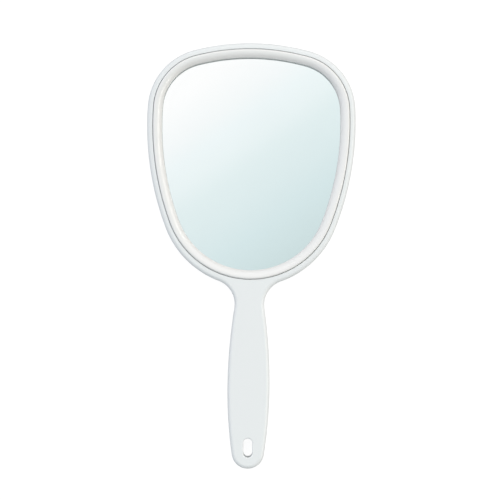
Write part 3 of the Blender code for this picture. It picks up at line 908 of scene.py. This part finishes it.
def make_front_frame():
    """Rim of the head and face of the handle: rounded outside, hollow behind, open at the head."""
    size = settings()
    moulding, screws, handle = size.moulding, size.screws, size.handle
    soft = moulding.soft_edge
    bottom, face = RIM_LOW.z, RIM_HIGH.z
    ledge = SHELL_TOP + moulding.fit
    underside = face - moulding.face_wall
    body, head, slot = body_outline(), head_outline(), slot_outline()
    rim = solid("front_frame_moulding", body, [
        (2 * soft, bottom, 0), (0, bottom, soft), (0, face, moulding.rim_radius),
        (moulding.rim_radius + soft, face, 0)])
    handle_space = prism("handle_space", body, moulding.side_wall, ledge - ROOT, underside)
    carve(handle_space, [("DIFFERENCE", prism("head_block", head, 0, bottom, face))])
    inner = moulding.rim_inner_radius
    mouth = handle.slot_mouth
    changes = [
        ("DIFFERENCE", prism("lap_space", body, moulding.lap_skirt, bottom - OVERRUN, ledge)),
        ("DIFFERENCE", handle_space),
        ("DIFFERENCE", solid("head_opening", head, [
            (moulding.rim_width, bottom - OVERRUN, 0),
            *reversed(mouth_rows(moulding.rim_width, face, -1, inner)),
            (moulding.rim_width - inner, face + OVERRUN, 0)])),
        ("UNION", prism("slot_sleeve", slot, -handle.sleeve_wall, bottom, underside + ROOT))]
    pilot = screws.thread_radius + moulding.fit
    pilot_top = screws.seat - moulding.fit + screws.screw_length + screws.pilot_spare
    seat_top = screws.seat + screws.seat_thickness
    for centre in screw_centres():
        changes += [
            ("UNION", post("boss", centre, pilot + screws.boss_wall, seat_top + moulding.fit,
                           underside + ROOT)),
            ("DIFFERENCE", post("pilot_hole", centre, pilot, seat_top - OVERRUN, pilot_top))]
    changes.append(("DIFFERENCE", solid("slot", slot, [
        (0, bottom - OVERRUN, 0), *reversed(mouth_rows(0.0, face, -1, mouth)),
        (-mouth, face + OVERRUN, 0)])))
    carve(rim, changes)
    return finished(rim, [frame_plastic()], ["front_frame"])


def bezel_section():
    """Section of the bezel, and the share of a snap hook that each of its points carries.

    The outside is a skirt and a small quarter round up to the crest. The roll is part of a circle
    that starts level at the crest: inset = crest + radius sin t, height = centre + radius cos t. A
    small round turns it into the upright lip, and the roll's last points make way for that round.
    The hollow under the roll has the same centre.
    """
    size = settings()
    bezel, soft = size.bezel, size.moulding.soft_edge
    edge = bezel_inset()
    bottom, top = BEZEL_LOW.z, BEZEL_HIGH.z
    crest = edge + bezel.crest_radius
    sight = glass_inset() + bezel.overlap
    foot = GLASS_HIGH.z + size.moulding.fit
    foot_outer = sight - bezel.lip_foot
    skirt_inner = edge + bezel.wall
    radius = (sight - crest) / math.sin(bezel.roll_end)
    hollow = radius - bezel.wall
    hook_top = SHELL_TOP

    def rolled(reach, start, end, count):
        turn = np.linspace(start, end, count)
        return np.stack([crest + reach * np.sin(turn), top - radius + reach * np.cos(turn)], axis=1)

    skirt = [(edge, height) for height in (bottom, hook_top - bezel.hook_height,
                                           hook_top - bezel.hook_nose, hook_top,
                                           hook_top + soft / 4)]
    hook = [0, 0, 1, 1, 0]
    quarter = np.linspace(0, math.pi / 2, CREST_POINTS)
    outer = np.stack([crest - bezel.crest_radius * np.cos(quarter),
                      top - bezel.crest_radius * (1 - np.sin(quarter))], axis=1)
    roll = rolled(radius, 0, bezel.roll_end, ROLL_POINTS)[1:]
    before_lip = roll[roll[:, 0] < sight - LIP_START * bezel.lip_round]
    under = rolled(hollow, math.asin((foot_outer - crest) / hollow),
                   math.asin((skirt_inner - crest) / hollow), HOLLOW_POINTS)
    lip = softened([(*before_lip[-1], 0), (*roll[-1], bezel.lip_round), (sight, foot, soft),
                    (foot_outer, foot, soft), (*under[0], 0)])
    rows = np.concatenate([np.array(skirt), outer, before_lip[:-1], lip[:-1], under,
                           np.array([(skirt_inner, bottom)])])
    share = np.zeros(len(rows))
    share[:len(hook)] = hook
    return rows, share


def make_bezel_ring():
    """Ring with a rounded crest and an inner roll, and snap hooks that swell out of its skirt."""
    size = settings()
    outline = head_outline()
    rows, share = bezel_section()
    places = outline.places - bezel_inset() * outline.outward
    catch = size.bezel.groove + size.bezel.hook_catch
    reach = -catch * share[:, None] * hook_share(places)[None]
    ring = surface("bezel_ring_moulding", outline.carried(rows, reach), ring=True)
    finish = size.finish
    material = plastic("white_bezel_plastic", finish.bezel_plastic, finish.gloss, coat=0.5)
    return finished(ring, [material], ["bezel_ring"])


def make_mirror_glass():
    """Sheet of glass with ground arrises; its flat underside carries the silver coating."""
    arris = settings().glass.arris
    inset, soft = glass_inset(), settings().moulding.soft_edge / 2
    bottom, top = GLASS_LOW.z, GLASS_HIGH.z
    sheet = solid("mirror_glass_sheet", head_outline(), [
        (inset + 4 * arris, bottom, 0), (inset + arris, bottom, soft),
        (inset, bottom + arris, soft), (inset, top - arris, soft),
        (inset + arris, top, soft), (inset + 4 * arris, top, 0)])
    finished(sheet, [glass_material(), silver_material()], ["mirror_glass"])
    normals = np.zeros(3 * len(sheet.data.polygons))
    sheet.data.polygons.foreach_get("normal", normals)
    coated = (normals.reshape(-1, 3)[:, 2] < FLAT_DOWN).astype(np.int32)
    sheet.data.polygons.foreach_set("material_index", coated)
    return sheet


def make_backing():
    """Finish of the safety film and of the foam pad, which keep their CAD shapes."""
    for node, material in (("safety_film", film_material()), ("foam_pad", foam_material())):
        repaint(node, material)


def make_screws():
    """Finish of the handle's screws, which keep their CAD shapes."""
    material = zinc_material()
    for node in SCREWS:
        repaint(node, material)


def make_plugs():
    """Round caps over the screw wells, hollow on their inner side."""
    size = settings()
    screws, finish = size.screws, size.finish
    soft = size.moulding.soft_edge / 2
    rim, chamfer = screws.plug_rim, screws.plug_chamfer
    material = plastic("white_plug_plastic", finish.plug_plastic, finish.plug_gloss, coat=0.1)
    for node in PLUGS:
        low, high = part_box(node)
        centre = ((low.x + high.x) / 2, (low.y + high.y) / 2)
        plug = solid(f"{node}_cap", round_outline(centre, screws.head_radius), [
            (2 * chamfer, low.z, 0), (chamfer, low.z, soft), (0, low.z + chamfer, soft),
            (0, high.z, soft), (rim, high.z, soft), (rim, low.z + screws.plug_web, soft),
            (rim + 2 * soft, low.z + screws.plug_web, 0)])
        finished(plug, [material], [node])


def repaint(node, material):
    """Puts a material in every slot of a CAD node."""
    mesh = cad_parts[node].data
    if not mesh.materials:
        mesh.materials.append(material)
    for i in range(len(mesh.materials)):
        mesh.materials[i] = material


# Stage

FLOOR_REACH = 6.0
SENSOR_WIDTH = 36.0
CLIP_END = 100.0

# Overhead, the dome grows lighter along the slant: the tone at each share of the way from
# -SLANT_REACH to SLANT_REACH, where a direction's place is its part along the slant
SLANT = (-0.587, 0.810, 0.0)
SLANT_REACH = 0.25
OVERHEAD_TONES = (
    (0.000, (0.52, 0.62, 0.64)), (0.470, (0.652, 0.766, 0.782)), (0.510, (0.717, 0.834, 0.856)),
    (0.540, (0.777, 0.876, 0.894)), (0.570, (0.821, 0.908, 0.923)), (0.590, (0.886, 0.950, 0.965)),
    (0.610, (0.924, 0.976, 0.995)), (0.630, (0.984, 0.997, 1.011)), (0.666, (1.060, 1.039, 1.048)),
    (0.800, (1.080, 1.060, 1.060)))

# Tones of the dome's sides. Near is towards the handle and far is beyond the head
LEFT_TONE = (1.22, 1.24, 1.32)
RIGHT_TONE = (1.32, 1.27, 1.18)
NEAR_LEFT_TONE = (0.04, 0.10, 0.17)
NEAR_RIGHT_TONE = (0.12, 0.10, 0.05)
FAR_TONE = (1.02, 1.02, 1.02)

# Tones of the dome close to the floor, and the plain white that the camera sees past the floor
LOW_LEFT_TONE = (0.90, 0.92, 0.96)
LOW_RIGHT_TONE = (0.08, 0.08, 0.07)
LOW_NEAR_TONE = (0.86, 0.87, 0.88)
SEEN_TONE = (1.05, 1.05, 1.05)

# Upward part of a direction where the low tones end, and where the wash starts and is whole
LOW_END = 0.42
WASH_START = 0.64
WASH_WHOLE = 0.97


def make_floor():
    """Large sheet of white paper under the mirror, lit from below.

    The glow that the camera sees and the glow that reaches the mirror have each their strength.
    """
    studio = settings().studio
    corners = FLOOR_REACH * np.array([(-1, -1, 0), (1, -1, 0), (1, 1, 0), (-1, 1, 0)])
    mesh = bpy.data.meshes.new("floor")
    mesh.from_pydata(corners, [], [(0, 1, 2, 3)])
    floor = bpy.data.objects.new("floor", mesh)
    bpy.context.scene.collection.objects.link(floor)
    material, tree, shader, place = new_material("floor_paper")
    tooth = tree.noise(place, PAPER_TOOTH, detail=3.0)
    shade = tree.blend(tooth, tone(studio.floor), tone(studio.floor, 0.99))
    tree.feed(shader.inputs["Base Color"], shade)
    set_shader(shader, Roughness=0.8, Specular_IOR_Level=0.1, Emission_Color=(1, 1, 1, 1))
    ray = tree.add("ShaderNodeLightPath").outputs
    bounce = tree.math("MULTIPLY", ray["Is Diffuse Ray"], studio.floor_bounce)
    glow = tree.math("MULTIPLY_ADD", ray["Is Camera Ray"], studio.floor_glow, bounce)
    tree.feed(shader.inputs["Emission Strength"], glow)
    mesh.materials.append(material)


def make_world():
    """Dome of soft light: a slanting wash of tone overhead, a tone for each side, and a low band.

    Overhead the tone follows the direction's part along the slant. Lower down it follows the side
    that the direction looks to: left and right blend into near and far as the direction turns
    towards them, and the near left corner belongs to the near side. Close to the floor the low
    tones take over. What the camera sees past the floor is plain white.
    """
    world = bpy.data.worlds.new("studio_dome")
    bpy.context.scene.world = world
    world.use_nodes = True
    tree = Tree(world.node_tree)
    direction = tree.add("ShaderNodeTexCoord").outputs["Generated"]
    x, y, z = tree.add("ShaderNodeSeparateXYZ", Vector=direction).outputs
    slant = tree.add("ShaderNodeVectorMath", {"operation": "DOT_PRODUCT"}, i0=direction,
                     i1=SLANT).outputs["Value"]
    ramp = tree.add("ShaderNodeValToRGB", Fac=tree.stretch(slant, -SLANT_REACH, SLANT_REACH))
    elements = ramp.color_ramp.elements
    while len(elements) < len(OVERHEAD_TONES):
        elements.new(0.5)
    for element, (position, wash) in zip(elements, OVERHEAD_TONES):
        element.position = position
        element.color = tone(wash)
    flat = tree.add("ShaderNodeCombineXYZ", X=x, Y=y, Z=0.0).outputs[0]
    level = tree.add("ShaderNodeVectorMath", {"operation": "NORMALIZE"}, i0=flat).outputs[0]
    right, far, _ = tree.add("ShaderNodeSeparateXYZ", Vector=level).outputs
    across = tree.blend(tree.stretch(right, -0.7, 0.7), tone(LEFT_TONE), tone(RIGHT_TONE))
    near = tree.blend(tree.stretch(right, -0.5, 0.3), tone(NEAR_LEFT_TONE), tone(NEAR_RIGHT_TONE))
    along = tree.blend(tree.stretch(far, -0.7, 0.7), near, tone(FAR_TONE))
    corner = tree.math("MULTIPLY", tree.stretch(far, -0.12, -0.40),
                       tree.stretch(right, 0.0, -0.3))
    spread = tree.math("MULTIPLY", tree.math("MULTIPLY", far, far), 1.5, clamp=True)
    around = tree.blend(tree.math("MAXIMUM", spread, corner), across, along)
    low = tree.blend(tree.stretch(right, -0.6, 0.1), tone(LOW_LEFT_TONE), tone(LOW_RIGHT_TONE))
    low = tree.blend(tree.stretch(far, -0.3, -0.9), low, tone(LOW_NEAR_TONE))
    side = tree.blend(tree.stretch(z, 0.0, LOW_END), low, around)
    dome = tree.blend(tree.stretch(z, WASH_START, WASH_WHOLE), side, ramp.outputs[0])
    seen = tree.add("ShaderNodeLightPath").outputs["Is Camera Ray"]
    background = world.node_tree.nodes["Background"]
    tree.feed(background.inputs["Color"], tree.blend(seen, dome, tone(SEEN_TONE)))
    tree.feed(background.inputs["Strength"], settings().studio.dome)


def softbox(name, bearing_angle, rise, long_side, short_side, brightness):
    """A rectangular light aimed at the head; its power is brightness x pi x area."""
    studio, head = settings().studio, settings().head
    aim = Vector((0, head.overall_length / 2 - head.height / 2, 0))
    level = math.cos(rise)
    away = Vector((math.cos(bearing_angle) * level, math.sin(bearing_angle) * level,
                   math.sin(rise)))
    light = bpy.data.lights.new(name, "AREA")
    light.shape = "RECTANGLE"
    light.size, light.size_y = long_side, short_side
    light.energy = brightness * math.pi * long_side * short_side
    light.color = studio.light_colour
    lamp = bpy.data.objects.new(name, light)
    lamp.location = aim + away * studio.light_distance
    lamp.rotation_euler = away.to_track_quat("Z", "Y").to_euler()
    bpy.context.scene.collection.objects.link(lamp)


def make_camera():
    """Camera straight above the mirror, with a lens that takes in the field at the rim's face."""
    studio = settings().studio
    data = bpy.data.cameras.new("camera")
    data.sensor_width = SENSOR_WIDTH
    data.lens = data.sensor_width * studio.camera_height / studio.field
    data.clip_end = CLIP_END
    camera = bpy.data.objects.new("camera", data)
    camera.location = (0, studio.camera_shift_y, RIM_HIGH.z + studio.camera_height)
    camera.rotation_euler = (0, 0, studio.roll)
    bpy.context.scene.collection.objects.link(camera)
    bpy.context.scene.camera = camera


def make_stage():
    """Floor, dome, a strip light on the right, a softbox beyond the head, and the camera."""
    studio = settings().studio
    make_floor()
    make_world()
    softbox("side_strip", 0.0, studio.side_rise, studio.strip_length, studio.strip_width,
            studio.side_light)
    softbox("top_softbox", math.pi / 2, studio.top_rise, studio.softbox_length,
            studio.softbox_width, studio.top_light)
    make_camera()
    bpy.context.scene.view_settings.view_transform = "Standard"


# Operators, panel and registration


class MIRROR_OT_rear_shell(Operator):
    """Make the rear shell of the head and handle"""
    bl_idname = "hand_mirror.rear_shell"
    bl_label = "Rear Shell"

    def execute(self, context):
        make_rear_shell()
        return {"FINISHED"}


class MIRROR_OT_front_frame(Operator):
    """Make the rim of the head with the face of the handle"""
    bl_idname = "hand_mirror.front_frame"
    bl_label = "Front Frame"

    def execute(self, context):
        make_front_frame()
        return {"FINISHED"}


class MIRROR_OT_bezel_ring(Operator):
    """Make the ring that holds the glass"""
    bl_idname = "hand_mirror.bezel_ring"
    bl_label = "Bezel Ring"

    def execute(self, context):
        make_bezel_ring()
        return {"FINISHED"}


class MIRROR_OT_mirror_glass(Operator):
    """Make the silvered glass"""
    bl_idname = "hand_mirror.mirror_glass"
    bl_label = "Mirror Glass"

    def execute(self, context):
        make_mirror_glass()
        return {"FINISHED"}


class MIRROR_OT_backing(Operator):
    """Finish the safety film and the foam pad under the glass"""
    bl_idname = "hand_mirror.backing"
    bl_label = "Backing"

    def execute(self, context):
        make_backing()
        return {"FINISHED"}


class MIRROR_OT_screws(Operator):
    """Finish the screws that close the handle"""
    bl_idname = "hand_mirror.screws"
    bl_label = "Handle Screws"

    def execute(self, context):
        make_screws()
        return {"FINISHED"}


class MIRROR_OT_plugs(Operator):
    """Make the plugs over the screw wells"""
    bl_idname = "hand_mirror.plugs"
    bl_label = "Screw Plugs"

    def execute(self, context):
        make_plugs()
        return {"FINISHED"}


class MIRROR_OT_stage(Operator):
    """Make the floor, the light and the camera"""
    bl_idname = "hand_mirror.stage"
    bl_label = "Stage"

    def execute(self, context):
        make_stage()
        return {"FINISHED"}


OPERATORS = (MIRROR_OT_stage, MIRROR_OT_rear_shell, MIRROR_OT_front_frame, MIRROR_OT_bezel_ring,
             MIRROR_OT_mirror_glass, MIRROR_OT_backing, MIRROR_OT_screws, MIRROR_OT_plugs)


class MirrorSettings(PropertyGroup):
    """All the settings of the hand mirror."""
    head: PointerProperty(type=MirrorHead)
    handle: PointerProperty(type=MirrorHandle)
    moulding: PointerProperty(type=MirrorMoulding)
    bezel: PointerProperty(type=MirrorBezel)
    glass: PointerProperty(type=MirrorGlass)
    screws: PointerProperty(type=MirrorScrews)
    finish: PointerProperty(type=MirrorFinish)
    studio: PointerProperty(type=MirrorStudio)


class MIRROR_PT_panel(Panel):
    """Lists the settings and the steps."""
    bl_idname = "MIRROR_PT_panel"
    bl_label = "Hand Mirror"
    bl_space_type = "VIEW_3D"
    bl_region_type = "UI"
    bl_category = "Hand Mirror"

    def draw(self, context):
        layout = self.layout
        everything = context.scene.hand_mirror
        for group in ("head", "handle", "moulding", "bezel", "glass", "screws", "finish", "studio"):
            box = layout.box()
            box.label(text=group.capitalize())
            values = getattr(everything, group)
            for name in type(values).__annotations__:
                box.prop(values, name)
        for operator in OPERATORS:
            layout.operator(operator.bl_idname)


GROUPS = (MirrorHead, MirrorHandle, MirrorMoulding, MirrorBezel, MirrorGlass, MirrorScrews,
          MirrorFinish, MirrorStudio, MirrorSettings)


def register():
    for item in (*GROUPS, *OPERATORS, MIRROR_PT_panel):
        bpy.utils.register_class(item)
    bpy.types.Scene.hand_mirror = PointerProperty(type=MirrorSettings)


def unregister():
    del bpy.types.Scene.hand_mirror
    for item in reversed((*GROUPS, *OPERATORS, MIRROR_PT_panel)):
        bpy.utils.unregister_class(item)


def main():
    """Makes the mirror and its stage."""
    register()
    bpy.ops.hand_mirror.stage()
    bpy.ops.hand_mirror.rear_shell()
    bpy.ops.hand_mirror.front_frame()
    bpy.ops.hand_mirror.bezel_ring()
    bpy.ops.hand_mirror.mirror_glass()
    bpy.ops.hand_mirror.backing()
    bpy.ops.hand_mirror.screws()
    bpy.ops.hand_mirror.plugs()


if __name__ == "__main__":
    main()
